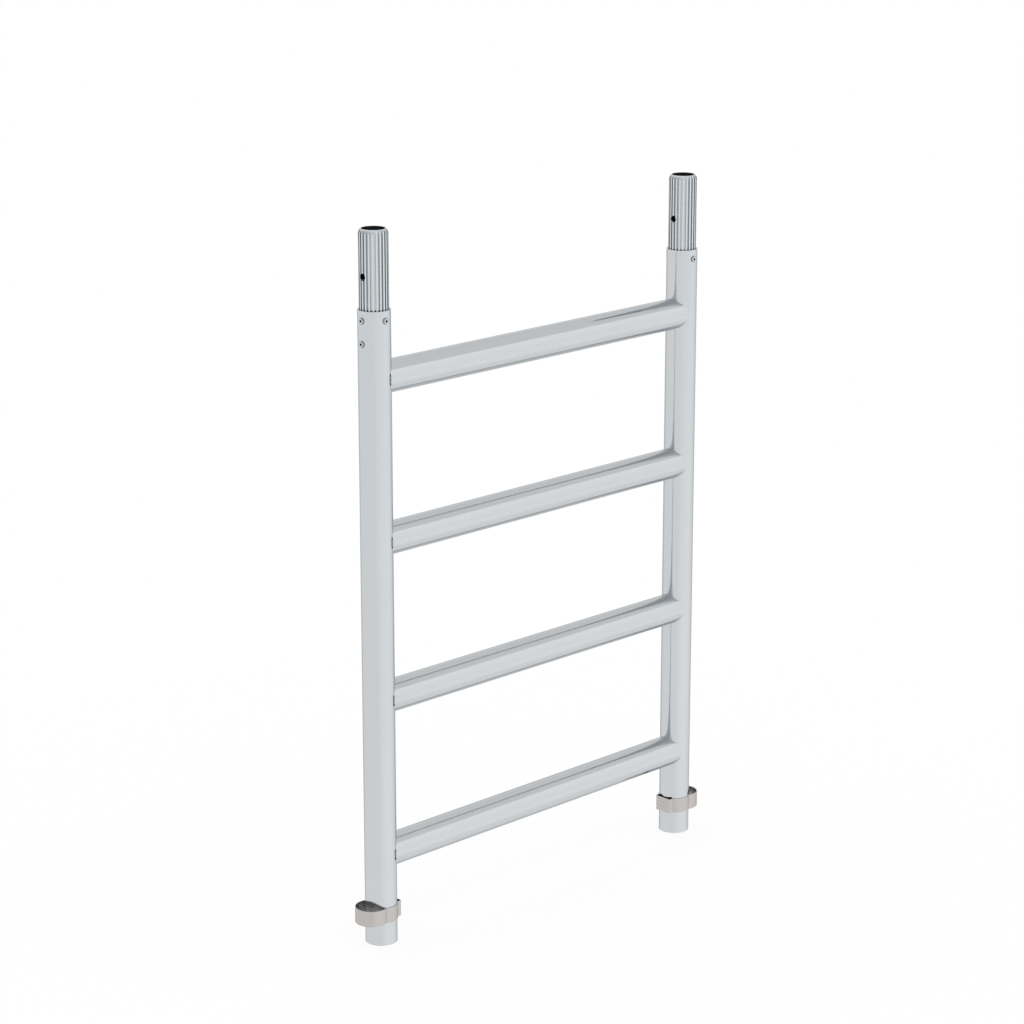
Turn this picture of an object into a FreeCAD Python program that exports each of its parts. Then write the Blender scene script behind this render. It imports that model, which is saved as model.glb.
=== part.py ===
import FreeCAD, Part
import math
import os

Vector = FreeCAD.Vector

# Driving dimensions in millimetres. The two posts stand on z = 0, and the origin lies midway
# between their axes. X runs along the rungs, Y from the front to the back.

# Posts and rungs, cut from the same tube
TUBE_DIAMETER = 50.0
TUBE_WALL = 2.0
POST_SPACING = 673.5
RUNG_COUNT = 4
RUNG_PITCH = 250.0
FIRST_RUNG_HEIGHT = 144.5
COPE_HORN_SETBACK = 10.5

# Fluted spigots
SPIGOT_PROUD = 120.0
SPIGOT_INSERT = 80.0
SPIGOT_CLEARANCE = 0.5
SPIGOT_WALL = 4.5
NOSE_LENGTH = 6.5
NOSE_LAND = 0.6
NOSE_FACETS = 4
FLUTE_COUNT = 24
FLUTE_WIDTH = 2.9
FLUTE_DEPTH = 3.0

# Locking pins, and the cross holes they catch in the frame below
LOCK_HEIGHT = 50.0
LOCK_PIN_DIAMETER = 10.0
LOCK_HOLE_CLEARANCE = 0.5
LOCK_PIN_REACH = 3.0
LOCK_PIN_NOSE = 3.0
LOCK_PIN_TIP_DIAMETER = 5.0
TENON_DIAMETER = 5.0
TENON_HEAD_DIAMETER = 9.6
TENON_CROWN_DIAMETER = 7.0
TENON_HEAD_HEIGHT = 0.8

# Spring clips, bent from flat strip
CLIP_HEIGHT = 25.0
CLIP_THICKNESS = 1.2
CLIP_PLATE_GAP = 2.2
CLIP_BOX_WIDTH = 30.0
CLIP_CORNER_RADIUS = 2.0
CLIP_CREASE_RADIUS = 2.2
CLIP_SPLIT_WIDTH = 8.0
CLIP_END_FILLET = 2.0
LOOP_RADIUS = 24.4
LOOP_REACH = 44.4

# Blind rivets that hold the spigots
RIVET_UPPER_DROP = 15.0
RIVET_LOWER_DROP = 50.0
RIVET_DIAMETER = 6.4
RIVET_HOLE_CLEARANCE = 0.05
RIVET_HEAD_DIAMETER = 10.5
RIVET_CROWN_DIAMETER = 8.0
RIVET_HEAD_HEIGHT = 2.2
RIVET_RIM_HEIGHT = 1.2
RIVET_BULB_DIAMETER = 9.0
RIVET_BULB_LENGTH = 4.0
RIVET_SIDES = 16
MANDREL_DIAMETER = 3.4
MANDREL_CLEARANCE = 0.02
MANDREL_RECESS = 2.6
MANDREL_HEAD_DIAMETER = 5.0
MANDREL_HEAD_LENGTH = 1.8

# Sizes that follow from the driving dimensions. A post is as long as its rungs' pitches, so that the
# ladder runs on evenly from one stacked frame to the next.
POST_LENGTH = RUNG_COUNT * RUNG_PITCH
TUBE_RADIUS = TUBE_DIAMETER / 2
TUBE_BORE_RADIUS = TUBE_RADIUS - TUBE_WALL
SPIGOT_RADIUS = TUBE_BORE_RADIUS - SPIGOT_CLEARANCE
SPIGOT_BORE_RADIUS = SPIGOT_RADIUS - SPIGOT_WALL
SPIGOT_BOTTOM = POST_LENGTH - SPIGOT_INSERT
SPIGOT_TOP = POST_LENGTH + SPIGOT_PROUD
LOCK_PIN_RADIUS = LOCK_PIN_DIAMETER / 2
LOCK_HOLE_RADIUS = LOCK_PIN_RADIUS + LOCK_HOLE_CLEARANCE
RIVET_RADIUS = RIVET_DIAMETER / 2
RIVET_HOLE_RADIUS = RIVET_RADIUS + RIVET_HOLE_CLEARANCE
MANDREL_RADIUS = MANDREL_DIAMETER / 2
CLIP_PLATE_X = TUBE_RADIUS + CLIP_PLATE_GAP

# How far a cutting solid runs past what it cuts
OVERRUN = 5.0

ORIGIN = Vector(0, 0, 0)
X_AXIS = Vector(1, 0, 0)
Z_AXIS = Vector(0, 0, 1)

# Each rivet's name, its direction from the post axis in degrees (180 is the outer side, 270 the
# front) and its height
RIVETS = (
    ("outer_upper", 180.0, POST_LENGTH - RIVET_UPPER_DROP),
    ("outer_lower", 180.0, POST_LENGTH - RIVET_LOWER_DROP),
    ("front", 270.0, POST_LENGTH - RIVET_UPPER_DROP),
    ("back", 90.0, POST_LENGTH - RIVET_UPPER_DROP),
)


def polar(centre, radius, degrees):
    """Point on a circle in the XY plane."""
    angle = math.radians(degrees)
    return centre + Vector(radius * math.cos(angle), radius * math.sin(angle), 0)


def line(start, end):
    """Straight edge."""
    return Part.LineSegment(start, end).toShape()


def arc(centre, radius, start_degrees, end_degrees):
    """Edge of a circle in the XY plane, from one direction to another."""
    middle_degrees = (start_degrees + end_degrees) / 2
    points = [polar(centre, radius, angle) for angle in (start_degrees, middle_degrees, end_degrees)]
    return Part.Arc(*points).toShape()


def turned(edges):
    """Solid of revolution about Z, from a closed outline drawn in the XY plane as (radius, height)."""
    face = Part.Face(Part.Wire(edges))
    face.rotate(ORIGIN, X_AXIS, 90)
    return face.revolve(ORIGIN, Z_AXIS, 360)


def outline(points):
    """Closed run of straight edges through (radius, height) pairs."""
    corners = [Vector(radius, height, 0) for radius, height in points]
    return [line(start, end) for start, end in zip(corners, corners[1:] + corners[:1])]


def faceted(points):
    """Flat-sided solid about Z, from the (radius, height) pairs of its outline, end to end."""
    rings = []
    for radius, height in points:
        centre = Vector(0, 0, height)
        rings.append([polar(centre, radius, 360 * side / RIVET_SIDES) for side in range(RIVET_SIDES)])
    loops = [rings[0], rings[-1]]
    for lower, upper in zip(rings, rings[1:]):
        for side in range(RIVET_SIDES):
            loops.append([lower[side - 1], lower[side], upper[side], upper[side - 1]])
    faces = [Part.Face(Part.makePolygon(loop + loop[:1])) for loop in loops]
    return Part.Solid(Part.Shell(faces))


def tube(outer_radius, inner_radius, length):
    """Round tube on Z, from z = 0 upward."""
    bore = Part.makeCylinder(inner_radius, length)
    return Part.makeCylinder(outer_radius, length).cut(bore)


def radial(shape, degrees, height):
    """Turn a shape built along Z so that Z points away from the post axis, and lift it to its height."""
    placed = shape.copy()
    placed.rotate(ORIGIN, Vector(0, 1, 0), 90)
    placed.rotate(ORIGIN, Z_AXIS, degrees)
    placed.translate(Vector(0, 0, height))
    return placed


def rivet_holes():
    """Drills for the rivets of one post, from its axis outward."""
    drill = Part.makeCylinder(RIVET_HOLE_RADIUS, TUBE_RADIUS + OVERRUN)
    return [radial(drill, degrees, height) for _, degrees, height in RIVETS]


def make_post():
    """Upright tube, drilled for the rivets and, on its inner side, for the locking pin."""
    lock_drill = Part.makeCylinder(LOCK_HOLE_RADIUS, TUBE_RADIUS + OVERRUN)
    post = tube(TUBE_RADIUS, TUBE_BORE_RADIUS, POST_LENGTH)
    return post.cut(rivet_holes() + [radial(lock_drill, 0, LOCK_HEIGHT)])


def make_rung(height):
    """Level tube between the posts, coped at both ends to sit on them.

    The horns of each cope reach round the post, and are cut off square where they leave it.
    """
    half_length = POST_SPACING / 2 - COPE_HORN_SETBACK
    rung = radial(tube(TUBE_RADIUS, TUBE_BORE_RADIUS, 2 * half_length), 0, height)
    rung.translate(Vector(-half_length, 0, 0))
    cope = Part.makeCylinder(TUBE_RADIUS, TUBE_DIAMETER + 2 * OVERRUN)
    cope.translate(Vector(0, 0, height - TUBE_RADIUS - OVERRUN))
    copes = []
    for side in (-1, 1):
        placed = cope.copy()
        placed.translate(Vector(side * POST_SPACING / 2, 0, 0))
        copes.append(placed)
    return rung.cut(copes)


def flute_cutter():
    """Flat-bottomed groove along the +X side of the spigot, from its foot out through its nose."""
    length = SPIGOT_TOP - SPIGOT_BOTTOM + 2 * OVERRUN
    corner = Vector(SPIGOT_RADIUS - FLUTE_DEPTH, -FLUTE_WIDTH / 2, SPIGOT_BOTTOM - OVERRUN)
    return Part.makeBox(FLUTE_DEPTH + OVERRUN, FLUTE_WIDTH, length, corner)


def make_spigot():
    """Fluted coupling stub with a rounded nose, riveted into the top of a post."""
    nose_width = SPIGOT_WALL - NOSE_LAND
    nose_radius = (nose_width ** 2 + NOSE_LENGTH ** 2) / (2 * nose_width)
    nose_start = SPIGOT_TOP - NOSE_LENGTH
    nose_angle = math.degrees(math.asin(NOSE_LENGTH / nose_radius))
    nose_centre = Vector(SPIGOT_RADIUS - nose_radius, nose_start, 0)
    nose_angles = [nose_angle * step / NOSE_FACETS for step in range(NOSE_FACETS + 1)]
    nose = [polar(nose_centre, nose_radius, angle) for angle in nose_angles]
    body = turned(outline([
        (SPIGOT_BORE_RADIUS, SPIGOT_BOTTOM),
        (SPIGOT_RADIUS, SPIGOT_BOTTOM),
        *[(corner.x, corner.y) for corner in nose],
        (SPIGOT_BORE_RADIUS, SPIGOT_TOP),
    ]))
    cutter = flute_cutter()
    pitch = 360 / FLUTE_COUNT
    cuts = rivet_holes()
    for index in range(FLUTE_COUNT):
        flute = cutter.copy()
        flute.rotate(ORIGIN, Z_AXIS, (index + 0.5) * pitch)
        cuts.append(flute)
    lock_drill = Part.makeCylinder(LOCK_HOLE_RADIUS, 2 * (SPIGOT_RADIUS + OVERRUN))
    lock_drill = radial(lock_drill, 0, POST_LENGTH + LOCK_HEIGHT)
    lock_drill.translate(Vector(-SPIGOT_RADIUS - OVERRUN, 0, 0))
    return body.cut(cuts + [lock_drill])


def make_rivet():
    """Set blind rivet along Z, at its true distance from the post axis: head, shank and blind bulb."""
    head_radius = RIVET_HEAD_DIAMETER / 2
    bulb_radius = RIVET_BULB_DIAMETER / 2
    apex = TUBE_RADIUS + RIVET_HEAD_HEIGHT
    seat = TUBE_RADIUS - head_radius
    head = faceted([
        (head_radius, seat),
        (head_radius, TUBE_RADIUS + RIVET_RIM_HEIGHT),
        (RIVET_CROWN_DIAMETER / 2, apex),
    ])
    post = radial(Part.makeCylinder(TUBE_RADIUS, 2 * head_radius + 2 * OVERRUN), 0, 0)
    post.translate(Vector(-head_radius - OVERRUN, 0, 0))
    tail = SPIGOT_BORE_RADIUS - RIVET_BULB_LENGTH
    bulb = faceted([(bulb_radius, tail), (bulb_radius, SPIGOT_BORE_RADIUS)])
    bore = radial(Part.makeCylinder(SPIGOT_BORE_RADIUS, 2 * bulb_radius + 2 * OVERRUN), 0, 0)
    bore.translate(Vector(-bulb_radius - OVERRUN, 0, 0))
    shank = faceted([(RIVET_RADIUS, tail), (RIVET_RADIUS, TUBE_RADIUS)])
    hole_radius = MANDREL_RADIUS + MANDREL_CLEARANCE
    hole = faceted([(hole_radius, tail - OVERRUN), (hole_radius, apex + OVERRUN)])
    return shank.fuse([head.cut(post), bulb.common(bore)]).removeSplitter().cut(hole)


def make_mandrel():
    """Broken-off stub of the rivet's pulling mandrel, headed at its blind end."""
    tail = SPIGOT_BORE_RADIUS - RIVET_BULB_LENGTH
    head_radius = MANDREL_HEAD_DIAMETER / 2
    return faceted([
        (head_radius, tail - MANDREL_HEAD_LENGTH),
        (head_radius, tail),
        (MANDREL_RADIUS, tail),
        (MANDREL_RADIUS, TUBE_RADIUS + RIVET_HEAD_HEIGHT - MANDREL_RECESS),
    ])


def clip_edges(offset):
    """Run of the clip's strip in plan, a given distance out from its inner face, as joined edges.

    It starts at the split behind the post, boxes out round the pin plate on the inner side, lies along
    the front of the post, leaves it for the thumb loop on the outer side and comes back to the split.
    """
    hug_radius = TUBE_RADIUS + offset
    crease_radius = CLIP_CREASE_RADIUS - offset
    crease_distance = TUBE_RADIUS + CLIP_CREASE_RADIUS
    half_split = math.degrees(CLIP_SPLIT_WIDTH / 2 / TUBE_RADIUS)

    leg = CLIP_BOX_WIDTH / 2
    leg_y = leg + offset
    plate_x = CLIP_PLATE_X + offset
    corner_radius = CLIP_CORNER_RADIUS + offset
    corner = Vector(CLIP_PLATE_X - CLIP_CORNER_RADIUS, leg - CLIP_CORNER_RADIUS, 0)
    front_corner = Vector(corner.x, -corner.y, 0)
    box_y = leg + CLIP_CREASE_RADIUS
    box_x = math.sqrt(crease_distance ** 2 - box_y ** 2)
    box_angle = math.degrees(math.atan2(box_y, box_x))

    loop = Vector(LOOP_RADIUS - LOOP_REACH, 0, 0)
    loop_radius = LOOP_RADIUS + offset
    loop_distance = LOOP_RADIUS + CLIP_CREASE_RADIUS
    neck_x = (crease_distance ** 2 - loop_distance ** 2 + loop.x ** 2) / (2 * loop.x)
    neck_y = math.sqrt(crease_distance ** 2 - neck_x ** 2)
    neck_angle = math.degrees(math.atan2(neck_y, neck_x))
    mouth_angle = math.degrees(math.atan2(neck_y, neck_x - loop.x))
    return [
        arc(ORIGIN, hug_radius, 90 - half_split, box_angle),
        arc(Vector(box_x, box_y, 0), crease_radius, box_angle - 180, -90),
        line(Vector(box_x, leg_y, 0), Vector(corner.x, leg_y, 0)),
        arc(corner, corner_radius, 90, 0),
        line(Vector(plate_x, corner.y, 0), Vector(plate_x, front_corner.y, 0)),
        arc(front_corner, corner_radius, 0, -90),
        line(Vector(corner.x, -leg_y, 0), Vector(box_x, -leg_y, 0)),
        arc(Vector(box_x, -box_y, 0), crease_radius, 90, 180 - box_angle),
        arc(ORIGIN, hug_radius, -box_angle, -neck_angle),
        arc(Vector(neck_x, -neck_y, 0), crease_radius, 180 - neck_angle, 180 - mouth_angle),
        arc(loop, loop_radius, -mouth_angle, mouth_angle - 360),
        arc(Vector(neck_x, neck_y, 0), crease_radius, mouth_angle - 180, neck_angle - 180),
        arc(ORIGIN, hug_radius, neck_angle, 90 + half_split),
    ]


def runs_through(edge, inner, outer):
    """True for an edge through the strip's thickness, from one point to another in plan."""
    start, end = (Vector(vertex.X, vertex.Y, 0) for vertex in edge.Vertexes)
    near = Part.Precision.confusion()
    forward = start.isEqual(inner, near) and end.isEqual(outer, near)
    return forward or (start.isEqual(outer, near) and end.isEqual(inner, near))


def make_clip():
    """Spring clip round the foot of a post: boxed pin plate inside, thumb loop outside, split behind."""
    inner = Part.Wire(clip_edges(0))
    outer = Part.Wire(clip_edges(CLIP_THICKNESS))
    ends = [(inner.OrderedVertexes[index].Point, outer.OrderedVertexes[index].Point) for index in (0, -1)]
    end_lines = [line(*end) for end in ends]
    section = Part.Wire(Part.__sortEdges__(inner.Edges + outer.Edges + end_lines))
    strip = Part.Face(section).extrude(Z_AXIS * CLIP_HEIGHT)
    strip = strip.makeFillet(
        CLIP_END_FILLET,
        [edge for edge in strip.Edges if any(runs_through(edge, *end) for end in ends)],
    )
    strip.translate(Vector(0, 0, LOCK_HEIGHT - CLIP_HEIGHT / 2))
    tenon_drill = Part.makeCylinder(TENON_DIAMETER / 2, CLIP_PLATE_X + CLIP_THICKNESS + OVERRUN)
    return strip.cut(radial(tenon_drill, 0, LOCK_HEIGHT))


def make_lock_pin():
    """Locking pin: nosed shaft into the post, tenon through the clip's plate, peened over outside."""
    tip = SPIGOT_BORE_RADIUS - LOCK_PIN_REACH
    plate_outside = CLIP_PLATE_X + CLIP_THICKNESS
    tenon_radius = TENON_DIAMETER / 2
    apex = plate_outside + TENON_HEAD_HEIGHT
    profile = outline([
        (0, tip),
        (LOCK_PIN_TIP_DIAMETER / 2, tip),
        (LOCK_PIN_RADIUS, tip + LOCK_PIN_NOSE),
        (LOCK_PIN_RADIUS, CLIP_PLATE_X),
        (tenon_radius, CLIP_PLATE_X),
        (tenon_radius, plate_outside),
        (TENON_HEAD_DIAMETER / 2, plate_outside),
        (TENON_CROWN_DIAMETER / 2, apex),
        (0, apex),
    ])
    return radial(turned(profile), 0, LOCK_HEIGHT)


def make_side():
    """Pieces of one post, about its own axis, with the frame's inside towards +X."""
    pieces = {
        "post": make_post(),
        "spigot": make_spigot(),
        "clip": make_clip(),
        "lock_pin": make_lock_pin(),
    }
    rivet = make_rivet()
    mandrel = make_mandrel()
    for name, degrees, height in RIVETS:
        pieces[name + "_rivet"] = radial(rivet, degrees, height)
        pieces[name + "_mandrel"] = radial(mandrel, degrees, height)
    return pieces


def make_frame():
    """Every piece of the frame in its place, by name."""
    frame = {}
    for name, piece in make_side().items():
        piece.translate(Vector(-POST_SPACING / 2, 0, 0))
        frame["left_" + name] = piece
        frame["right_" + name] = piece.mirror(ORIGIN, X_AXIS)
    for index in range(RUNG_COUNT):
        frame["rung_%d" % (index + 1)] = make_rung(FIRST_RUNG_HEIGHT + index * RUNG_PITCH)
    return frame


os.makedirs("parts", exist_ok=True)
for node, shape in make_frame().items():
    shape.exportStep(os.path.join("parts", node + ".step"))
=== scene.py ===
import logging
import math
from collections.abc import Sequence
from dataclasses import dataclass, field
from enum import Enum

import bmesh
import bpy
from mathutils import Matrix, Vector


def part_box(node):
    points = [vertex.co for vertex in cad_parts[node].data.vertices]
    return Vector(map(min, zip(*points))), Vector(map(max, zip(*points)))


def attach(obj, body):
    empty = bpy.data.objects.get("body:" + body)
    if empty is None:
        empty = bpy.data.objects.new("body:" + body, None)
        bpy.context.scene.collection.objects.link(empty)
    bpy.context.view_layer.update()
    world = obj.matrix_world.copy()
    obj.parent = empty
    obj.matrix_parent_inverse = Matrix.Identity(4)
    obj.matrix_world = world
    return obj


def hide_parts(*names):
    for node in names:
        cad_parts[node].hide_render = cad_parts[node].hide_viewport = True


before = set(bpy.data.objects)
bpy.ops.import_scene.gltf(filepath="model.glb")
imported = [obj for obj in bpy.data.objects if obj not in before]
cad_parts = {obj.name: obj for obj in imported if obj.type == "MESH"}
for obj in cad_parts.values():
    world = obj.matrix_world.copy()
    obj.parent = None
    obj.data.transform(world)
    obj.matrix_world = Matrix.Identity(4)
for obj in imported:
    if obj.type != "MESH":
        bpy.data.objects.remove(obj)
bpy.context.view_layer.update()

BODY = "root"
RUNG_COUNT = 4
MM = 0.001
FULL_TURN = 2 * math.pi
SHARP_ANGLE = math.radians(32)
WELD_DISTANCE = 1e-7

# Faces round a softened edge
CORNER_STEPS = 3

# Height kept clear above and below a drilled hole, in radii of the hole
HOLE_MARGIN = 2

# Level part of a bearing, below which a card counts as lying overhead or underfoot
STEEP = 0.5

# Octaves of noise in a metal's lines and in its broad clouds, and how many lines one cloud spans
LINE_DETAIL = 3.0
CLOUD_DETAIL = 2.0
LINES_TO_A_CLOUD = 60

log = logging.getLogger("scaffold_frame")

Colour = tuple[float, float, float]
Point = tuple[float, float]
Ring = list[Vector]


class Side(Enum):
    """The two posts of the frame.

    The value is the direction along X from the post to the frame's inside.
    """

    LEFT = 1
    RIGHT = -1

    @property
    def label(self) -> str:
        """Name that begins the names of this side's pieces."""
        return self.name.lower()

    def post_axis(self) -> float:
        """Distance of the post's axis from the frame's middle, along X."""
        low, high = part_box(f"{self.label}_post")
        return (low.x + high.x) / 2


class RivetPlace(Enum):
    """The four rivets that hold a spigot. The value is the rivet's name."""

    OUTER_UPPER = "outer_upper"
    OUTER_LOWER = "outer_lower"
    FRONT = "front"
    BACK = "back"

    @property
    def direction(self) -> Vector:
        """Direction from the post's axis to the rivet's head.

        Returns:
            The direction, with the frame's inside towards +X.
        """
        if self is RivetPlace.FRONT:
            return Vector((0, -1, 0))
        if self is RivetPlace.BACK:
            return Vector((0, 1, 0))
        return Vector((-1, 0, 0))

    def height(self, side: Side) -> float:
        """Height of the rivet's axis on a post."""
        low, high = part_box(f"{side.label}_{self.value}_rivet")
        return (low.z + high.z) / 2


class Grain(Enum):
    """The way that drawing or rolling lines run on a metal.

    The value stretches the pattern along X, Y and Z.
    """

    ALONG_X = (0.02, 1.0, 1.0)
    ALONG_Z = (1.0, 1.0, 0.02)
    AROUND_Z = (0.25, 0.25, 1.0)
    EVEN = (1.0, 1.0, 1.0)


@dataclass(frozen=True)
class MetalFinish:
    """A bare metal surface with faint lines from its making.

    Attributes:
        name: Name of the finish.
        colour: Reflected colour of the clean metal.
        roughness: Middle roughness of the surface.
        grain: The way the lines run.
        line_density: Lines per metre.
        tone_spread: How much lighter and darker the tone gets, as a share.
        roughness_spread: How much the roughness varies either way.
        line_depth: Depth of the lines in metres.
        edge_tint: Share of the reflection that is left near grazing view.
        corner_shade_tone: Share of the colour that is left deep in grooves and corners, where shade is
            painted.
        corner_shade_reach: How near other faces have to stand for the painted shade, in metres, or 0 for an
            even tone.
    """

    name: str
    colour: Colour
    roughness: float
    grain: Grain
    line_density: float = 900.0
    tone_spread: float = 0.02
    roughness_spread: float = 0.025
    line_depth: float = 2e-6
    edge_tint: float = 0.85
    corner_shade_tone: float = 0.1
    corner_shade_reach: float = 0.0

    def material(self) -> bpy.types.Material:
        """Build the node material, or give the one built before.

        Returns:
            The finished material.
        """
        known = bpy.data.materials.get(self.name)
        if known:
            return known
        material = bpy.data.materials.new(self.name)
        material.use_nodes = True
        tree = material.node_tree
        shader = tree.nodes["Principled BSDF"]
        shader.inputs["Metallic"].default_value = 1.0
        shader.inputs["Specular Tint"].default_value = (self.edge_tint, self.edge_tint, self.edge_tint, 1.0)

        place = tree.nodes.new("ShaderNodeTexCoord")
        stretch = tree.nodes.new("ShaderNodeMapping")
        stretch.inputs["Scale"].default_value = self.grain.value
        tree.links.new(place.outputs["Object"], stretch.inputs["Vector"])
        lines = self.noise(tree, stretch.outputs["Vector"], self.line_density, LINE_DETAIL)
        cloud_density = self.line_density / LINES_TO_A_CLOUD
        cloud = self.noise(tree, place.outputs["Object"], cloud_density, CLOUD_DETAIL)

        tone = tree.nodes.new("ShaderNodeMix")
        tone.data_type = "RGBA"
        tone.inputs["A"].default_value = (*(c * (1 - self.tone_spread) for c in self.colour), 1.0)
        tone.inputs["B"].default_value = (*(c * (1 + self.tone_spread) for c in self.colour), 1.0)
        tree.links.new(cloud, tone.inputs["Factor"])
        surface = tone.outputs["Result"]
        # Painted shade in grooves and corners, where a reach is set.
        if self.corner_shade_reach:
            surface = self.paint_corner_shade(tree, surface)
        tree.links.new(surface, shader.inputs["Base Color"])

        gloss = tree.nodes.new("ShaderNodeMapRange")
        gloss.inputs["To Min"].default_value = self.roughness - self.roughness_spread
        gloss.inputs["To Max"].default_value = self.roughness + self.roughness_spread
        tree.links.new(lines, gloss.inputs["Value"])
        tree.links.new(gloss.outputs["Result"], shader.inputs["Roughness"])

        relief = tree.nodes.new("ShaderNodeBump")
        relief.inputs["Distance"].default_value = self.line_depth
        tree.links.new(lines, relief.inputs["Height"])
        tree.links.new(relief.outputs["Normal"], shader.inputs["Normal"])
        return material

    def paint_corner_shade(self, tree: bpy.types.NodeTree, clean: bpy.types.NodeSocket) -> bpy.types.NodeSocket:
        """Add painted shade: a darker tone in grooves and tight corners, where other faces stand close.

        Args:
            tree: Tree that takes the nodes.
            clean: Tone of the open surface.

        Returns:
            The tone of the whole surface.
        """
        # Painted shade: ambient occlusion darkens the colour towards the shade tone.
        openness = tree.nodes.new("ShaderNodeAmbientOcclusion")
        openness.inputs["Distance"].default_value = self.corner_shade_reach
        shaded = tree.nodes.new("ShaderNodeMix")
        shaded.data_type = "RGBA"
        shaded.inputs["A"].default_value = (*(c * self.corner_shade_tone for c in self.colour), 1.0)
        tree.links.new(openness.outputs["AO"], shaded.inputs["Factor"])
        tree.links.new(clean, shaded.inputs["B"])
        return shaded.outputs["Result"]

    @staticmethod
    def noise(
        tree: bpy.types.NodeTree, vector: bpy.types.NodeSocket, scale: float, detail: float
    ) -> bpy.types.NodeSocket:
        """Add a noise texture.

        Args:
            tree: Tree that takes the texture.
            vector: Place to read the noise at.
            scale: Noise cells per metre.
            detail: Octaves of finer noise.

        Returns:
            The noise value, from 0 to 1.
        """
        texture = tree.nodes.new("ShaderNodeTexNoise")
        texture.inputs["Scale"].default_value = scale
        texture.inputs["Detail"].default_value = detail
        tree.links.new(vector, texture.inputs["Vector"])
        return texture.outputs["Fac"]


POST_TUBE = MetalFinish("post_tube_aluminium", (0.578, 0.604, 0.624), 0.12, Grain.ALONG_Z)
RUNG_TUBE = MetalFinish("rung_tube_aluminium", (0.578, 0.604, 0.624), 0.12, Grain.ALONG_X)
SPIGOT_EXTRUSION = MetalFinish(
    "spigot_extruded_aluminium",
    (0.624, 0.66, 0.684),
    0.18,
    Grain.ALONG_Z,
    corner_shade_tone=0.62,
    corner_shade_reach=0.03,
)
CLIP_STRIP = MetalFinish(
    "clip_rolled_strip",
    (0.5, 0.478, 0.464),
    0.27,
    Grain.AROUND_Z,
    line_density=2500.0,
    corner_shade_tone=0.9,
    corner_shade_reach=0.005,
)
PIN_STEEL = MetalFinish("pin_turned_steel", (0.525, 0.508, 0.49), 0.24, Grain.EVEN, line_density=2500.0)
RIVET_ALUMINIUM = MetalFinish("rivet_aluminium", (0.56, 0.58, 0.6), 0.2, Grain.EVEN, line_density=2500.0)
# Darker tone on the rivet head's rim: painted shade round the head.
RIVET_RIM_SHADE = MetalFinish("rivet_rim_painted_shade", (0.31, 0.321, 0.332), 0.3, Grain.EVEN, line_density=2500.0)
# Near-black for the mandrel's stub and the head's mouth: painted shade of the recess.
MANDREL_RECESS_SHADE = MetalFinish("mandrel_recess_painted_shade", (0.05, 0.05, 0.052), 0.5, Grain.EVEN, line_density=4000.0)
# Near-black finish painted where there is only shade: behind and inside the clip's box, in the spigot's bore
# and at the groove ends.
PAINTED_GAP_SHADE = MetalFinish("painted_shade_in_gaps", (0.05, 0.053, 0.055), 0.45, Grain.ALONG_Z)


def turn_point(radius: float, angle: float, height: float) -> Vector:
    """Point at a radius, an angle and a height about the Z axis."""
    return Vector((radius * math.cos(angle), radius * math.sin(angle), height))


def round_ring(radius: float, height: float, count: int) -> Ring:
    """Ring of evenly spaced points about the Z axis, at a radius and a height."""
    return [turn_point(radius, FULL_TURN * step / count, height) for step in range(count)]


def corner_arc(
    centre: Point, radius: float, start: float, end: float, steps: int = CORNER_STEPS
) -> list[Point]:
    """Points of a rounded corner in a profile.

    Args:
        centre: Centre of the arc.
        radius: Radius of the arc.
        start: First direction in degrees.
        end: Last direction in degrees.
        steps: How many short edges the arc has.

    Returns:
        The points as pairs.
    """
    points = []
    for step in range(steps + 1):
        angle = math.radians(start + (end - start) * step / steps)
        points.append((centre[0] + radius * math.cos(angle), centre[1] + radius * math.sin(angle)))
    return points


def loft(name: str, rings: Sequence[Ring], closed: bool) -> bpy.types.Object:
    """Skin a run of rings that all have the same number of points.

    Args:
        name: Name of the new piece.
        rings: Rings of points, in order.
        closed: True where the last ring joins the first.

    Returns:
        The new mesh object, linked to the scene.
    """
    mesh = bpy.data.meshes.new(name)
    work = bmesh.new()
    rows = [[work.verts.new(point) for point in ring] for ring in rings]
    pairs = list(zip(rows, rows[1:]))
    if closed:
        pairs.append((rows[-1], rows[0]))
    for lower, upper in pairs:
        for step in range(len(lower)):
            after = (step + 1) % len(lower)
            work.faces.new((lower[step], lower[after], upper[after], upper[step]))
    bmesh.ops.remove_doubles(work, verts=work.verts, dist=WELD_DISTANCE)
    bmesh.ops.recalc_face_normals(work, faces=work.faces)
    work.to_mesh(mesh)
    work.free()
    piece = bpy.data.objects.new(name, mesh)
    bpy.context.scene.collection.objects.link(piece)
    return piece


def lathe(name: str, profile: Sequence[Point], count: int, closed: bool) -> bpy.types.Object:
    """Turn a profile, pairs of radius and height, about the Z axis, closed on itself for a hollow ring."""
    return loft(name, [round_ring(radius, height, count) for radius, height in profile], closed)


def drill(piece: bpy.types.Object, start: Vector, end: Vector, radius: float, count: int = 48) -> None:
    """Cut a round hole through a piece.

    Args:
        piece: Piece to cut.
        start: First end of the hole's axis.
        end: Other end of the hole's axis.
        radius: Radius of the hole.
        count: Points round the hole.
    """
    length = (end - start).length
    profile = [(0.0, 0.0), (radius, 0.0), (radius, length), (0.0, length)]
    cutter = lathe("drill", profile, count, closed=False)
    cutter.data.transform(Matrix.Translation(start) @ turn_to(end - start))
    cut = piece.modifiers.new("hole", "BOOLEAN")
    cut.operation = "DIFFERENCE"
    cut.solver = "EXACT"
    cut.object = cutter
    settle(piece)
    bpy.data.objects.remove(cutter)


def turn_to(direction: Vector) -> Matrix:
    """Rotation that takes the Z axis to a direction."""
    return Vector((0, 0, 1)).rotation_difference(direction).to_matrix().to_4x4()


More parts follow.
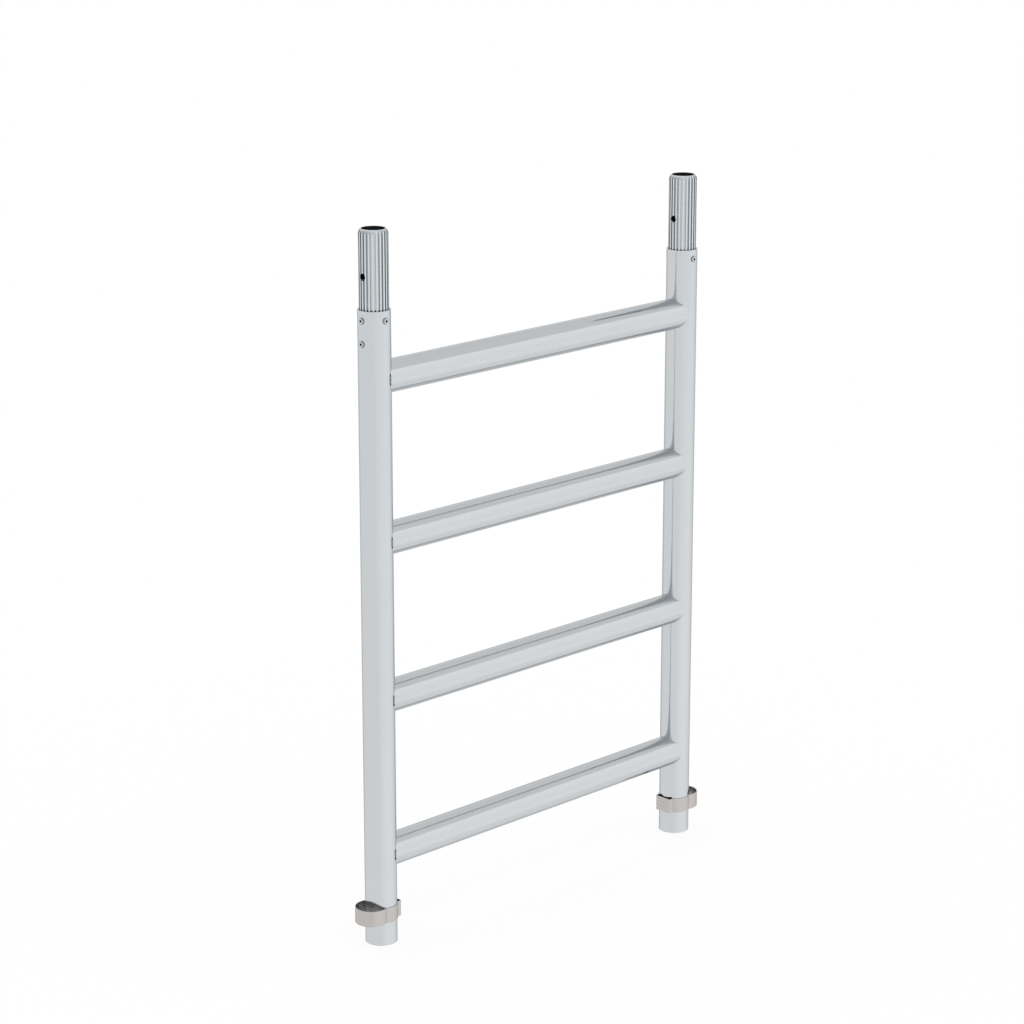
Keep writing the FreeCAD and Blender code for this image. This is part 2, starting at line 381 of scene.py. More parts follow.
def settle(piece: bpy.types.Object) -> None:
    """Work a piece's modifiers into its mesh.

    Args:
        piece: Piece with modifiers.
    """
    graph = bpy.context.evaluated_depsgraph_get()
    mesh = bpy.data.meshes.new_from_object(piece.evaluated_get(graph))
    piece.modifiers.clear()
    spent = piece.data
    piece.data = mesh
    bpy.data.meshes.remove(spent)


def smooth(piece: bpy.types.Object) -> None:
    """Shade a piece smooth, with its sharp edges kept and its large faces even.

    Args:
        piece: Piece to shade.
    """
    work = bmesh.new()
    work.from_mesh(piece.data)
    for face in work.faces:
        face.smooth = True
    for edge in work.edges:
        edge.smooth = len(edge.link_faces) != 2 or edge.calc_face_angle() < SHARP_ANGLE
    work.to_mesh(piece.data)
    work.free()
    even = piece.modifiers.new("even_faces", "WEIGHTED_NORMAL")
    even.keep_sharp = True
    settle(piece)


def paint_region(piece: bpy.types.Object, low: Vector, high: Vector, radii: tuple[float, float]) -> None:
    """Give the faces of one region of a piece its second finish.

    Args:
        piece: Piece built about the Z axis.
        low: Least corner of the region's box.
        high: Greatest corner of the region's box.
        radii: Least and greatest distance from the Z axis.
    """
    for face in piece.data.polygons:
        centre = face.center
        boxed = all(least <= value <= most for least, value, most in zip(low, centre, high))
        if boxed and radii[0] < centre.xy.length < radii[1]:
            face.material_index = 1


def stand(piece: bpy.types.Object, side: Side) -> bpy.types.Object:
    """Move a piece from the origin to its post, with its inside turned to the frame's inside.

    Args:
        piece: Piece built about the Z axis, with the frame's inside towards +X.
        side: Post that the piece belongs to.

    Returns:
        The same piece.
    """
    mirror = Matrix.Diagonal((side.value, 1, 1, 1))
    piece.data.transform(Matrix.Translation((side.post_axis(), 0, 0)) @ mirror)
    if side is Side.RIGHT:
        piece.data.flip_normals()
    return piece


def fit(piece: bpy.types.Object, node: str, *finishes: MetalFinish) -> bpy.types.Object:
    """Dress a finished mesh and let it stand for its node.

    Args:
        piece: Mesh object in its final place.
        node: Node that the piece stands for.
        finishes: Finishes of its surface, in the order that its faces number them.

    Returns:
        The same piece.
    """
    smooth(piece)
    for finish in finishes:
        piece.data.materials.append(finish.material())
    piece.data.name = piece.name
    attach(piece, BODY)
    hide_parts(node)
    log.info("%s stands for %s, %d faces", piece.name, node, len(piece.data.polygons))
    return piece


@dataclass
class Post:
    """An upright tube with softened ends and its drilled holes.

    Attributes:
        side: Which of the two posts it is.
        wall: Thickness of the tube's wall.
        lip: Radius of the softened edges at the ends.
        rivet_hole: Radius of the rivet holes.
        lock_hole: Radius of the hole for the locking pin.
        shade_width: Width of the painted shade on the post behind the clip's plate.
        count: Points round the tube.
    """

    side: Side
    wall: float = 2 * MM
    lip: float = 0.35 * MM
    rivet_hole: float = 3.25 * MM
    lock_hole: float = 5.5 * MM
    shade_width: float = 31 * MM
    count: int = 192

    def build(self) -> bpy.types.Object:
        """Make the tube, drill it and put it in place.

        Returns:
            The finished post.
        """
        node = f"{self.side.label}_post"
        low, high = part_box(node)
        outer = (high.y - low.y) / 2
        inner = outer - self.wall
        lip = self.lip
        pin_low, pin_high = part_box(f"{self.side.label}_lock_pin")
        holes = [(Vector((1, 0, 0)), (pin_low.z + pin_high.z) / 2, self.lock_hole)]
        holes += [(place.direction, place.height(self.side), self.rivet_hole) for place in RivetPlace]
        clip_low, clip_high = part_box(f"{self.side.label}_clip")
        levels = {height + sign * HOLE_MARGIN * radius for _, height, radius in holes for sign in (-1, 1)}
        levels = sorted(levels | {clip_low.z, clip_high.z})
        profile = [
            *corner_arc((inner + lip, low.z + lip), lip, 180, 270),
            *corner_arc((outer - lip, low.z + lip), lip, 270, 360),
            *((outer, level) for level in levels),
            *corner_arc((outer - lip, high.z - lip), lip, 0, 90),
            *corner_arc((inner + lip, high.z - lip), lip, 90, 180),
            *((inner, level) for level in reversed(levels)),
        ]
        piece = lathe(f"{node}_tube", profile, self.count, closed=True)
        for direction, height, radius in holes:
            base = Vector((0, 0, height))
            drill(piece, base, base + direction * 2 * outer, radius)
        # Painted shade on the post's face behind the clip's plate.
        shade_low = Vector((inner / 2, -self.shade_width / 2, clip_low.z))
        shade_high = Vector((outer, self.shade_width / 2, clip_high.z))
        paint_region(piece, shade_low, shade_high, (inner + lip, outer))
        return fit(stand(piece, self.side), node, POST_TUBE, PAINTED_GAP_SHADE)


@dataclass
class Rung:
    """A level tube, coped at both ends to lie on the posts.

    Attributes:
        number: Number of the rung, from the foot.
        wall: Thickness of the tube's wall.
        count: Points round the tube.
        rows: Rows of faces along the tube.
    """

    number: int
    wall: float = 2 * MM
    count: int = 192
    rows: int = 24

    def cope(self, radius: float, height: float, longest: float) -> Ring:
        """Edge of the wall where it meets the right post.

        Args:
            radius: Radius of the wall's face.
            height: Height of the rung's axis.
            longest: How far the horns of the cope reach from the frame's middle.

        Returns:
            The points of the edge, in order.
        """
        post_low, post_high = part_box("right_post")
        post_radius = (post_high.y - post_low.y) / 2
        axis = Side.RIGHT.post_axis()
        points = []
        for step in range(self.count):
            angle = FULL_TURN * step / self.count
            y = radius * math.cos(angle)
            saddle = math.sqrt(max(post_radius**2 - y**2, 0.0))
            points.append(Vector((min(axis - saddle, longest), y, height + radius * math.sin(angle))))
        return points

    def build(self) -> bpy.types.Object:
        """Make the coped tube in its place.

        Returns:
            The finished rung.
        """
        node = f"rung_{self.number}"
        low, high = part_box(node)
        middle = (low.z + high.z) / 2
        outer = (high.z - low.z) / 2
        shares = [2 * row / self.rows - 1 for row in range(self.rows + 1)]
        rings = []
        for radius in (outer, outer - self.wall):
            edge = self.cope(radius, middle, high.x)
            rings += [[Vector((share * point.x, point.y, point.z)) for point in edge] for share in shares]
            shares.reverse()
        piece = loft(f"{node}_tube", rings, closed=True)
        return fit(piece, node, RUNG_TUBE)


@dataclass
class Spigot:
    """The fluted stub on top of a post, with a rounded nose and a cross hole.

    Attributes:
        side: Post that carries it.
        wall: Thickness from the ridges to the bore.
        flutes: How many grooves run along it.
        flute_width: Width of a groove.
        flute_depth: Depth of a groove.
        soft: Radius of the ridges' edges.
        nose_length: Length of the rounded nose.
        nose_land: Width of the flat rim at the top.
        hole: Radius of the cross hole.
        hole_height: Height of the cross hole above the post.
        rivet_hole: Radius of the rivet holes.
        shade_depth: How far down in the post the grooves take painted shade.
        shade_rise: How far above the post the grooves take painted shade.
        ridge_steps: Faces across the top of a ridge.
        nose_steps: Faces along the rounded nose.
    """

    side: Side
    wall: float = 4.5 * MM
    flutes: int = 24
    flute_width: float = 2.9 * MM
    flute_depth: float = 3 * MM
    soft: float = 0.25 * MM
    nose_length: float = 8 * MM
    nose_land: float = 0.6 * MM
    hole: float = 5.5 * MM
    hole_height: float = 50 * MM
    rivet_hole: float = 3.25 * MM
    shade_depth: float = 6 * MM
    shade_rise: float = 1.2 * MM
    ridge_steps: int = 4
    nose_steps: int = 14

    def ring(self, outer: float, limit: float, height: float) -> Ring:
        """Cross-section of the ridges and grooves at a height, held inside a radius.

        Args:
            outer: Radius over the ridges.
            limit: Radius that holds the section in.
            height: Height of the section.

        Returns:
            The points of one full turn, in order.
        """
        half = self.flute_width / 2
        soft = self.soft
        root = outer - self.flute_depth
        mouth = math.sqrt(outer**2 - (half + soft) ** 2)
        groove = [
            *corner_arc((mouth - soft, -half - soft), soft, 0, 90),
            *corner_arc((root + soft, soft - half), soft, 270, 180),
            *corner_arc((root + soft, half - soft), soft, 180, 90),
            *corner_arc((mouth - soft, half + soft), soft, 270, 360),
        ]
        pitch = FULL_TURN / self.flutes
        edge = math.asin((half + soft) / limit)
        points = []
        for flute in range(self.flutes):
            turn = Matrix.Rotation((flute + 0.5) * pitch, 3, "Z")
            for x, y in groove:
                points.append(turn @ Vector((min(x, math.sqrt(limit**2 - y**2)), y, height)))
            for step in range(1, self.ridge_steps):
                angle = edge + (pitch - 2 * edge) * step / self.ridge_steps
                points.append(turn @ turn_point(limit, angle, height))
        return points

    def build(self) -> bpy.types.Object:
        """Make the fluted stub, drill it and put it on its post.

        Returns:
            The finished spigot.
        """
        node = f"{self.side.label}_spigot"
        low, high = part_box(node)
        outer = (high.y - low.y) / 2
        bore = outer - self.wall
        nose_width = self.wall - self.nose_land
        nose_radius = (nose_width**2 + self.nose_length**2) / (2 * nose_width)
        nose_start = high.z - self.nose_length
        nose_angle = math.degrees(math.asin(self.nose_length / nose_radius))
        nose = corner_arc((outer - nose_radius, nose_start), nose_radius, 0, nose_angle, self.nose_steps)
        post_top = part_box(f"{self.side.label}_post")[1].z
        shade_foot, shade_top = post_top - self.shade_depth, post_top + self.shade_rise
        hole_z = post_top + self.hole_height
        margin = HOLE_MARGIN * self.hole
        levels = [low.z, shade_foot, shade_top, hole_z - margin, hole_z + margin]
        rings = [self.ring(outer, outer, level) for level in levels]
        rings += [self.ring(outer, radius, level) for radius, level in nose]
        rings += [self.ring(outer, bore, level) for level in (high.z, *reversed(levels))]
        piece = loft(f"{node}_stub", rings, closed=True)
        across = Vector((2 * outer, 0, 0))
        drill(piece, Vector((0, 0, hole_z)) - across, Vector((0, 0, hole_z)) + across, self.hole)
        for place in RivetPlace:
            base = Vector((0, 0, place.height(self.side)))
            drill(piece, base, base + place.direction * 2 * outer, self.rivet_hole)
        # Painted shade where the grooves enter the post.
        shade_low = Vector((-outer, -outer, shade_foot))
        shade_high = Vector((outer, outer, shade_top))
        paint_region(piece, shade_low, shade_high, (bore + self.soft, outer - self.soft))
        # Painted shade inside the bore.
        bore_low = Vector((-outer, -outer, low.z))
        bore_high = Vector((outer, outer, high.z))
        paint_region(piece, bore_low, bore_high, (0.0, bore + self.soft / 2))
        return fit(stand(piece, self.side), node, SPIGOT_EXTRUSION, PAINTED_GAP_SHADE)


@dataclass
class Clip:
    """The spring clip at the foot of a post, bent from flat strip.

    Attributes:
        side: Post that the clip holds on to.
        thickness: Thickness of the strip.
        edge: Radius of the strip's rolled edges.
        plate_gap: Gap from the post to the pin plate.
        box_width: Inner width of the box that carries the pin plate.
        corner_radius: Inner radius of the box's corners.
        crease_radius: Radius of the creases where the strip leaves the post.
        split_width: Gap between the strip's two ends, behind the post.
        end_radius: Radius of the corners of those ends.
        loop_radius: Inner radius of the thumb loop.
        loop_reach: How far the loop's inner face stands out from the post's axis.
        tenon: Radius of the hole for the pin's tenon.
        pitch: Largest distance between two points of a bend.
        bend_steps: Fewest faces round a bend.
        path: Points of the strip's inner face in plan, each with the direction to the outer face.
    """

    side: Side
    thickness: float = 1.2 * MM
    edge: float = 0.25 * MM
    plate_gap: float = 2.2 * MM
    box_width: float = 30 * MM
    corner_radius: float = 2 * MM
    crease_radius: float = 2.2 * MM
    split_width: float = 8 * MM
    end_radius: float = 2 * MM
    loop_radius: float = 24.4 * MM
    loop_reach: float = 44.4 * MM
    tenon: float = 2.5 * MM
    pitch: float = 0.5 * MM
    bend_steps: int = 8
    path: list[tuple[Vector, Vector]] = field(default_factory=list)

    def add_arc(self, centre: Vector, radius: float, start: float, end: float, outward: int = 1) -> None:
        """Add a bend to the strip's path.

        Args:
            centre: Centre of the bend.
            radius: Radius of the strip's inner face.
            start: First direction from the centre, in degrees.
            end: Last direction, in degrees.
            outward: 1 where the strip's outer face looks away from the centre, and -1 where it looks to it.
        """
        length = radius * math.radians(abs(end - start))
        steps = max(self.bend_steps, math.ceil(length / self.pitch))
        for step in range(steps + 1):
            spoke = turn_point(1, math.radians(start + (end - start) * step / steps), 0)
            self.path.append((centre + spoke * radius, spoke * outward))

    def trace(self, post_radius: float) -> None:
        """Lay out the path of the strip in plan: from the split round the box, the front and the thumb loop.

        Args:
            post_radius: Outer radius of the post.
        """
        crease = self.crease_radius
        half_split = math.degrees(self.split_width / 2 / post_radius)
        leg = self.box_width / 2
        corner = Vector((post_radius + self.plate_gap - self.corner_radius, leg - self.corner_radius, 0))
        front_corner = Vector((corner.x, -corner.y, 0))
        box_y = leg + crease
        box_x = math.sqrt((post_radius + crease) ** 2 - box_y**2)
        box_angle = math.degrees(math.atan2(box_y, box_x))
        loop = Vector((self.loop_radius - self.loop_reach, 0, 0))
        neck_x = ((post_radius + crease) ** 2 - (self.loop_radius + crease) ** 2 + loop.x**2) / (2 * loop.x)
        neck_y = math.sqrt((post_radius + crease) ** 2 - neck_x**2)
        neck_angle = math.degrees(math.atan2(neck_y, neck_x))
        mouth_angle = math.degrees(math.atan2(neck_y, neck_x - loop.x))
        axis = Vector((0, 0, 0))
        self.add_arc(axis, post_radius, 90 - half_split, box_angle)
        self.add_arc(Vector((box_x, box_y, 0)), crease, box_angle - 180, -90, -1)
        self.add_arc(corner, self.corner_radius, 90, 0)
        self.add_arc(front_corner, self.corner_radius, 0, -90)
        self.add_arc(Vector((box_x, -box_y, 0)), crease, 90, 180 - box_angle, -1)
        self.add_arc(axis, post_radius, -box_angle, -neck_angle)
        self.add_arc(Vector((neck_x, -neck_y, 0)), crease, 180 - neck_angle, 180 - mouth_angle, -1)
        self.add_arc(loop, self.loop_radius, -mouth_angle, mouth_angle - 360)
        self.add_arc(Vector((neck_x, neck_y, 0)), crease, mouth_angle - 180, neck_angle - 180, -1)
        self.add_arc(axis, post_radius, neck_angle, 90 + half_split)

    def half_height(self, distance: float, full: float) -> float:
        """Half of the strip's height at a distance from its nearer end, rounded at the corners."""
        left = max(self.end_radius - distance, 0.0)
        return full - self.end_radius + math.sqrt(self.end_radius**2 - left**2)

    def section(self, point: Vector, outward: Vector, middle: float, half: float) -> Ring:
        """Ring of the strip's cross-section at a point of its path.

        Args:
            point: Point of the strip's inner face.
            outward: Direction to the strip's outer face.
            middle: Height of the strip's middle.
            half: Half of the strip's height there.

        Returns:
            The ring's points.
        """
        edge = min(self.edge, half)
        far = self.thickness - edge
        corners = [
            *corner_arc((edge, half - edge), edge, 180, 90),
            *corner_arc((far, half - edge), edge, 90, 0),
            *corner_arc((far, edge - half), edge, 0, -90),
            *corner_arc((edge, edge - half), edge, -90, -180),
        ]
        return [point + outward * depth + Vector((0, 0, middle + height)) for depth, height in corners]

    def build(self) -> bpy.types.Object:
        """Make the bent strip round its post.

        Returns:
            The finished clip.
        """
        node = f"{self.side.label}_clip"
        low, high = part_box(node)
        post_low, post_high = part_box(f"{self.side.label}_post")
        middle = (low.z + high.z) / 2
        post_radius = (post_high.y - post_low.y) / 2
        self.trace(post_radius)
        along = [0.0]
        for (before, _), (after, _) in zip(self.path, self.path[1:]):
            along.append(along[-1] + (after - before).length)
        rings = []
        for (point, outward), distance in zip(self.path, along):
            half = self.half_height(min(distance, along[-1] - distance), (high.z - low.z) / 2)
            rings.append(self.section(point, outward, middle, half))
        caps = [point + outward * self.thickness / 2 + Vector((0, 0, middle)) for point, outward in self.path]
        rings = [[caps[0]] * len(rings[0]), *rings, [caps[-1]] * len(rings[0])]
        piece = loft(f"{node}_strip", rings, closed=False)
        base = Vector((0, 0, middle))
        drill(piece, base, base + Vector((2 * self.loop_reach, 0, 0)), self.tenon)
        # Painted shade on the inner faces of the box that carries the pin plate.
        leg = self.box_width / 2 + self.edge
        shade_low = Vector((post_radius / 2, -leg, low.z))
        shade_high = Vector((post_radius + self.plate_gap + self.edge, leg, high.z))
        paint_region(piece, shade_low, shade_high, (0.0, self.loop_reach))
        return fit(stand(piece, self.side), node, CLIP_STRIP, PAINTED_GAP_SHADE)


@dataclass
class TurnedPiece:
    """A small turned piece that points away from a post's axis.

    Attributes:
        side: Post that carries it.
        count: Points round its axis.
    """

    side: Side
    count: int = 64

    def paint_bands(self, piece: bpy.types.Object, bands: Sequence[int], finish: int) -> None:
        """Give some bands of a turned piece another finish.

        Args:
            piece: Piece turned from a profile.
            bands: Numbers of the profile's edges whose faces take the finish.
            finish: Number of the finish.
        """
        for band in bands:
            for face in piece.data.polygons[band * self.count:(band + 1) * self.count]:
                face.material_index = finish

    def aim(self, piece: bpy.types.Object, direction: Vector, height: float) -> bpy.types.Object:
        """Turn a piece from the Z axis to its direction, lift it to its height and stand it at its post."""
        piece.data.transform(Matrix.Translation((0, 0, height)) @ turn_to(direction))
        return stand(piece, self.side)


@dataclass
class LockPin(TurnedPiece):
    """The pin that the clip holds in the post, peened over outside the clip's plate.

    Attributes:
        radius: Radius of the shaft.
        tip: Radius of the flat tip.
        nose: Length of the tapered nose.
        tenon: Radius of the tenon.
        head: Radius of the peened head.
        crown: Radius of the flat on the peened head.
        edge: Radius of the peened head's softened edges.
        head_height: Height of the peened head.
        thickness: Thickness of the clip's plate.
    """

    radius: float = 5 * MM
    tip: float = 2.5 * MM
    nose: float = 3 * MM
    tenon: float = 2.5 * MM
    head: float = 4.8 * MM
    crown: float = 3.5 * MM
    edge: float = 0.15 * MM
    head_height: float = 0.8 * MM
    thickness: float = 1.2 * MM

    def build(self) -> bpy.types.Object:
        """Make the pin in its place.

        Returns:
            The finished pin.
        """
        node = f"{self.side.label}_lock_pin"
        low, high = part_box(node)
        axis = self.side.post_axis()
        near, far = sorted((abs(low.x - axis), abs(high.x - axis)))
        plate_outside = far - self.head_height
        shoulder = plate_outside - self.thickness
        profile = [
            (0.0, near),
            (self.tip, near),
            (self.radius, near + self.nose),
            (self.radius, shoulder),
            (self.tenon, shoulder),
            (self.tenon, plate_outside),
            (self.head, plate_outside),
            (self.head, plate_outside + self.edge),
            (self.crown + self.edge, far - self.edge / 2),
            (self.crown - self.edge, far),
            (0.0, far),
        ]
        piece = lathe(f"{node}_shaft", profile, self.count, closed=False)
        return fit(self.aim(piece, Vector((1, 0, 0)), (low.z + high.z) / 2), node, PIN_STEEL)


@dataclass
class Rivet(TurnedPiece):
    """A set blind rivet, with the stub of its mandrel.

    Attributes:
        place: Which of the four rivets it is.
        post_radius: Outer radius of the post.
        bore: Inner radius of the spigot.
        shank: Radius of the shank.
        head: Radius of the head.
        head_height: Height of the head over the post.
        rim: Height of the head's rim over the post.
        crown: Radius of the flat in the middle of the head.
        edge: Radius of the head's softened edges.
        rim_turn: How far the rim's edge rounds over, in degrees.
        rim_steps: Faces round the rim's edge.
        bulb: Radius of the blind end.
        bulb_length: Length of the blind end.
        stem: Radius of the mandrel.
        stem_head: Radius of the mandrel's head.
        stem_head_length: Length of the mandrel's head.
        recess: How far the mandrel has broken off below the head.
        slack: Gap between the mandrel and the rivet.
    """

    place: RivetPlace = RivetPlace.FRONT
    post_radius: float = 25 * MM
    bore: float = 18 * MM
    shank: float = 3.2 * MM
    head: float = 5.25 * MM
    head_height: float = 2.2 * MM
    rim: float = 1.2 * MM
    crown: float = 4 * MM
    edge: float = 0.4 * MM
    rim_turn: float = 60.0
    rim_steps: int = 4
    bulb: float = 4.5 * MM
    bulb_length: float = 4 * MM
    stem: float = 1.7 * MM
    stem_head: float = 2.5 * MM
    stem_head_length: float = 1.8 * MM
    recess: float = 2.6 * MM
    slack: float = 0.02 * MM

    def build(self) -> None:
        """Make the rivet and its mandrel in their places."""
        node = f"{self.side.label}_{self.place.value}_rivet"
        height = self.place.height(self.side)
        direction = self.place.direction
        apex = self.post_radius + self.head_height
        tail = self.bore - self.bulb_length
        mouth = self.stem + self.slack
        seat = math.sqrt(self.post_radius**2 - self.head**2)
        blind_seat = math.sqrt(self.bore**2 - self.bulb**2)
        rim = self.post_radius + self.rim
        shoulder = self.head - self.edge
        shank_side = [
            (mouth, tail),
            (self.bulb, tail),
            (self.bulb, blind_seat),
            (self.shank, blind_seat),
            (self.shank, seat),
        ]
        rim_arc = corner_arc((shoulder, rim - self.edge), self.edge, 0, self.rim_turn, self.rim_steps)
        rim_side = [(self.head, seat), *rim_arc]
        top_side = [(self.crown, apex - self.edge / 4), (self.crown - self.edge, apex)]
        mouth_side = [(mouth + self.edge, apex), (mouth, apex - self.edge)]
        profile = shank_side + rim_side + top_side + mouth_side
        piece = lathe(f"{node}_body", profile, self.count, closed=True)
        rim_start = len(shank_side)
        # The rim takes painted shade.
        self.paint_bands(piece, range(rim_start, rim_start + len(rim_side)), 1)
        # The mouth of the head takes the recess's painted shade.
        self.paint_bands(piece, range(len(profile) - len(mouth_side), len(profile)), 2)
        fit(self.aim(piece, direction, height), node, RIVET_ALUMINIUM, RIVET_RIM_SHADE, MANDREL_RECESS_SHADE)

        stem_node = f"{self.side.label}_{self.place.value}_mandrel"
        stem_profile = [
            (0.0, tail - self.stem_head_length),
            (self.stem_head, tail - self.stem_head_length),
            (self.stem_head, tail),
            (self.stem, tail),
            (self.stem, apex - self.recess),
            (0.0, apex - self.recess - self.slack),
        ]
        stem = lathe(f"{stem_node}_stub", stem_profile, self.count, closed=False)
        fit(self.aim(stem, direction, height), stem_node, MANDREL_RECESS_SHADE)


@dataclass(frozen=True)
class Card:
    """A large glowing card far off, which only the metal's reflections show and which fades out at its sides.

    Attributes:
        name: Name of the card.
        level: Brightness of the card, where 1 is white.
        bearing: Direction from the frame to the card's face.
        reach: Distances from the middle to the left, right, lower and upper side.
        fade: Widths of the fading at those sides.
        distance: Distance of the card.
    """

    name: str
    level: float
    bearing: tuple[float, float, float]
    reach: tuple[float, float, float, float]
    fade: tuple[float, float, float, float]
    distance: float = 12.0

    def build(self) -> None:
        """Hang the card in the set."""
        left, right, lower, upper = self.reach
        mesh = bpy.data.meshes.new(self.name)
        corners = [(-left, -lower, 0), (right, -lower, 0), (right, upper, 0), (-left, upper, 0)]
        mesh.from_pydata(corners, [], [(0, 1, 2, 3)])
        mesh.materials.append(self.material())
        card = bpy.data.objects.new(self.name, mesh)
        bpy.context.scene.collection.objects.link(card)
        bearing = Vector(self.bearing).normalized()
        across = Vector((0, 0, 1)).cross(bearing)
        if across.length < STEEP:
            across = Vector((1, 0, 0))
        across.normalize()
        upward = bearing.cross(across)
        axes = Matrix((across, upward, bearing)).transposed().to_4x4()
        card.matrix_world = Matrix.Translation(bearing * self.distance) @ axes
        card.visible_camera = False
        card.visible_diffuse = False
        card.visible_transmission = False
        card.visible_shadow = False

    def material(self) -> bpy.types.Material:
        """Build the glow that fades to nothing at the card's sides.

        Returns:
            The finished material.
        """
        material = bpy.data.materials.new(self.name)
        material.use_nodes = True
        tree = material.node_tree
        tree.nodes.remove(tree.nodes["Principled BSDF"])
        place = tree.nodes.new("ShaderNodeTexCoord")
        axes = tree.nodes.new("ShaderNodeSeparateXYZ")
        tree.links.new(place.outputs["Object"], axes.inputs["Vector"])
        left, right, lower, upper = self.reach
        sides = [("X", -left), ("X", right), ("Y", -lower), ("Y", upper)]
        share = None
        for (axis, side), fade in zip(sides, self.fade):
            ramp = tree.nodes.new("ShaderNodeMapRange")
            ramp.interpolation_type = "SMOOTHSTEP"
            ramp.inputs["From Min"].default_value = side
            ramp.inputs["From Max"].default_value = side - math.copysign(fade, side)
            tree.links.new(axes.outputs[axis], ramp.inputs["Value"])
            if share is None:
                share = ramp.outputs["Result"]
                continue
            both = tree.nodes.new("ShaderNodeMath")
            both.operation = "MULTIPLY"
            tree.links.new(share, both.inputs[0])
            tree.links.new(ramp.outputs["Result"], both.inputs[1])
            share = both.outputs["Value"]
        clear = tree.nodes.new("ShaderNodeBsdfTransparent")
        glow = tree.nodes.new("ShaderNodeEmission")
        glow.inputs["Strength"].default_value = self.level
        blend = tree.nodes.new("ShaderNodeMixShader")
        tree.links.new(share, blend.inputs["Fac"])
        tree.links.new(clear.outputs["BSDF"], blend.inputs[1])
        tree.links.new(glow.outputs["Emission"], blend.inputs[2])
        tree.links.new(blend.outputs["Shader"], tree.nodes["Material Output"].inputs["Surface"])
        return material


CARDS = (
    Card("overhead_card", 0.86, (0, 0, 1), (0.0, 26.0, 12.0, 22.0), (0.5, 4.0, 0.8, 4.0)),
    Card("post_panel", 1.125, (0.087, -0.996, 0), (18.0, 36.0, 14.0, 1.0), (21.0, 38.0, 6.0, 5.0), 11.9),
    Card("front_panel", 1.14, (0.552, -0.834, 0), (6.0, 11.0, 12.0, 10.4), (5.0, 5.0, 22.0, 0.5)),
    Card("rear_card", 0.72, (0.706, 0.708, 0), (15.0, 15.0, 9.0, 4.0), (8.0, 8.0, 3.0, 3.0)),
    Card("low_card", 0.74, (0, 0, -1), (0.0, 26.0, 22.0, 1.0), (0.5, 4.0, 4.0, 5.0)),
    Card("upper_left_card", 0.74, (-0.8, 0, 0.6), (16.0, 16.0, 5.0, 8.0), (6.0, 6.0, 2.0, 3.0)),
    Card("lower_left_card", 0.74, (-0.6, 0, -0.8), (16.0, 16.0, 5.0, 3.4), (6.0, 6.0, 2.0, 1.0)),
)


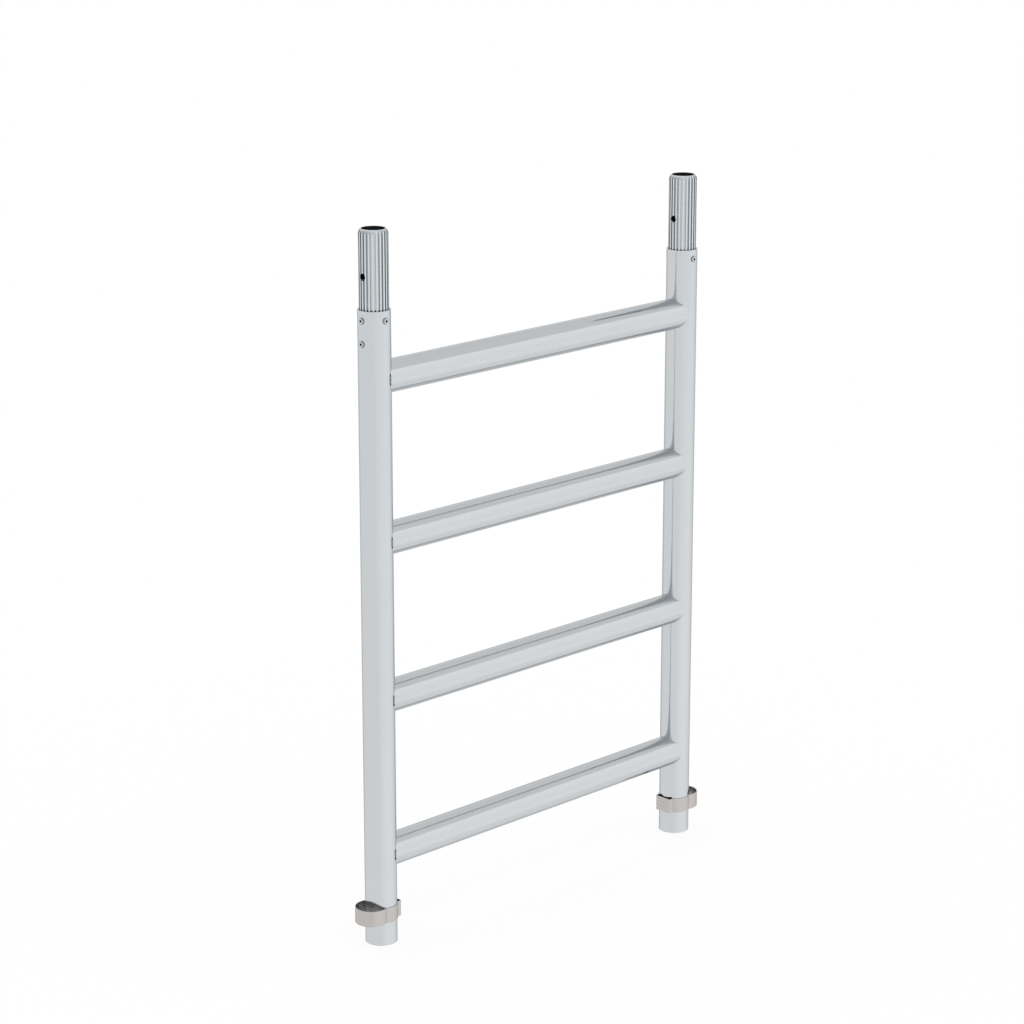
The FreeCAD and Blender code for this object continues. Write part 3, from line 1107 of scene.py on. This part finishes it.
@dataclass
class Studio:
    """The white set that the frame stands in, and the camera.

    Attributes:
        focal: Focal length in pixels of the square picture.
        picture: Width of the picture in pixels.
        sensor: Width of the camera's sensor in millimetres.
        azimuth: Direction of the camera round the frame, in degrees.
        elevation: Height of the camera over the horizon, in degrees.
        distance: Distance from the camera to the point it looks at.
        target: Point that the camera looks at.
        floor_radius: Radius of the floor.
        floor_points: Points round the floor.
        floor_drop: Gap under the feet, so that no faces coincide.
        floor_colour: Colour of the floor under plain light.
    """

    focal: float = 3137.09
    picture: float = 1024.0
    sensor: float = 36.0
    azimuth: float = -44.885
    elevation: float = 15.597
    distance: float = 4.9004
    target: tuple[float, float, float] = (-0.050703, 0.0, 0.633569)
    floor_radius: float = 1.3
    floor_points: int = 128
    floor_drop: float = 0.0002
    floor_colour: float = 0.12

    def build(self) -> None:
        """Set up the camera, the floor, the world and the cards."""
        self.add_camera()
        self.add_floor()
        self.add_world()
        for card in CARDS:
            card.build()
        bpy.context.scene.view_settings.view_transform = "Standard"

    def add_camera(self) -> None:
        """Place the camera."""
        data = bpy.data.cameras.new("camera")
        data.sensor_width = self.sensor
        data.lens = self.focal / self.picture * self.sensor
        camera = bpy.data.objects.new("camera", data)
        bpy.context.scene.collection.objects.link(camera)
        azimuth, elevation = math.radians(self.azimuth), math.radians(self.elevation)
        away = Vector((
            math.cos(elevation) * math.sin(azimuth),
            -math.cos(elevation) * math.cos(azimuth),
            math.sin(elevation),
        ))
        camera.location = Vector(self.target) + away * self.distance
        camera.rotation_euler = (-away).to_track_quat("-Z", "Y").to_euler()
        bpy.context.scene.camera = camera

    @staticmethod
    def seen_white(tree: bpy.types.NodeTree) -> bpy.types.NodeSocket:
        """Add the test for rays that show the set: from the camera, a mirror or a glass.

        Args:
            tree: Tree that takes the test.

        Returns:
            A value that is 1 for those rays and 0 for others.
        """
        ray = tree.nodes.new("ShaderNodeLightPath")
        total = ray.outputs["Is Camera Ray"]
        for kind in ("Is Glossy Ray", "Is Transmission Ray"):
            add = tree.nodes.new("ShaderNodeMath")
            add.operation = "MAXIMUM"
            tree.links.new(total, add.inputs[0])
            tree.links.new(ray.outputs[kind], add.inputs[1])
            total = add.outputs["Value"]
        return total

    def add_floor(self) -> None:
        """Lay the round white floor, which keeps the shadow of the feet."""
        profile = [(0.0, -self.floor_drop), (self.floor_radius, -self.floor_drop)]
        floor = lathe("floor", profile, self.floor_points, closed=False)
        material = bpy.data.materials.new("floor_white")
        material.use_nodes = True
        tree = material.node_tree
        tree.nodes.remove(tree.nodes["Principled BSDF"])
        paint = tree.nodes.new("ShaderNodeBsdfDiffuse")
        paint.inputs["Color"].default_value = (self.floor_colour, self.floor_colour, self.floor_colour, 1.0)
        glow = tree.nodes.new("ShaderNodeEmission")
        level = tree.nodes.new("ShaderNodeMath")
        level.operation = "MULTIPLY"
        level.inputs[1].default_value = 1 - self.floor_colour
        tree.links.new(self.seen_white(tree), level.inputs[0])
        tree.links.new(level.outputs["Value"], glow.inputs["Strength"])
        total = tree.nodes.new("ShaderNodeAddShader")
        tree.links.new(paint.outputs["BSDF"], total.inputs[0])
        tree.links.new(glow.outputs["Emission"], total.inputs[1])
        tree.links.new(total.outputs["Shader"], tree.nodes["Material Output"].inputs["Surface"])
        floor.data.materials.append(material)
        floor.visible_glossy = False
        floor.visible_shadow = False

    def add_world(self) -> None:
        """Light the set evenly from all round with plain white."""
        world = bpy.data.worlds.new("white_set")
        world.use_nodes = True
        world.node_tree.nodes["Background"].inputs["Color"].default_value = (1.0, 1.0, 1.0, 1.0)
        bpy.context.scene.world = world


def main() -> None:
    """Build every piece of the frame in order, then the set round it."""
    logging.basicConfig(level=logging.INFO, format="%(message)s")
    for side in Side:
        Post(side).build()
        Spigot(side).build()
        Clip(side).build()
        LockPin(side).build()
        for place in RivetPlace:
            Rivet(side, place=place).build()
    for number in range(1, RUNG_COUNT + 1):
        Rung(number).build()
    Studio().build()


if __name__ == "__main__":
    main()
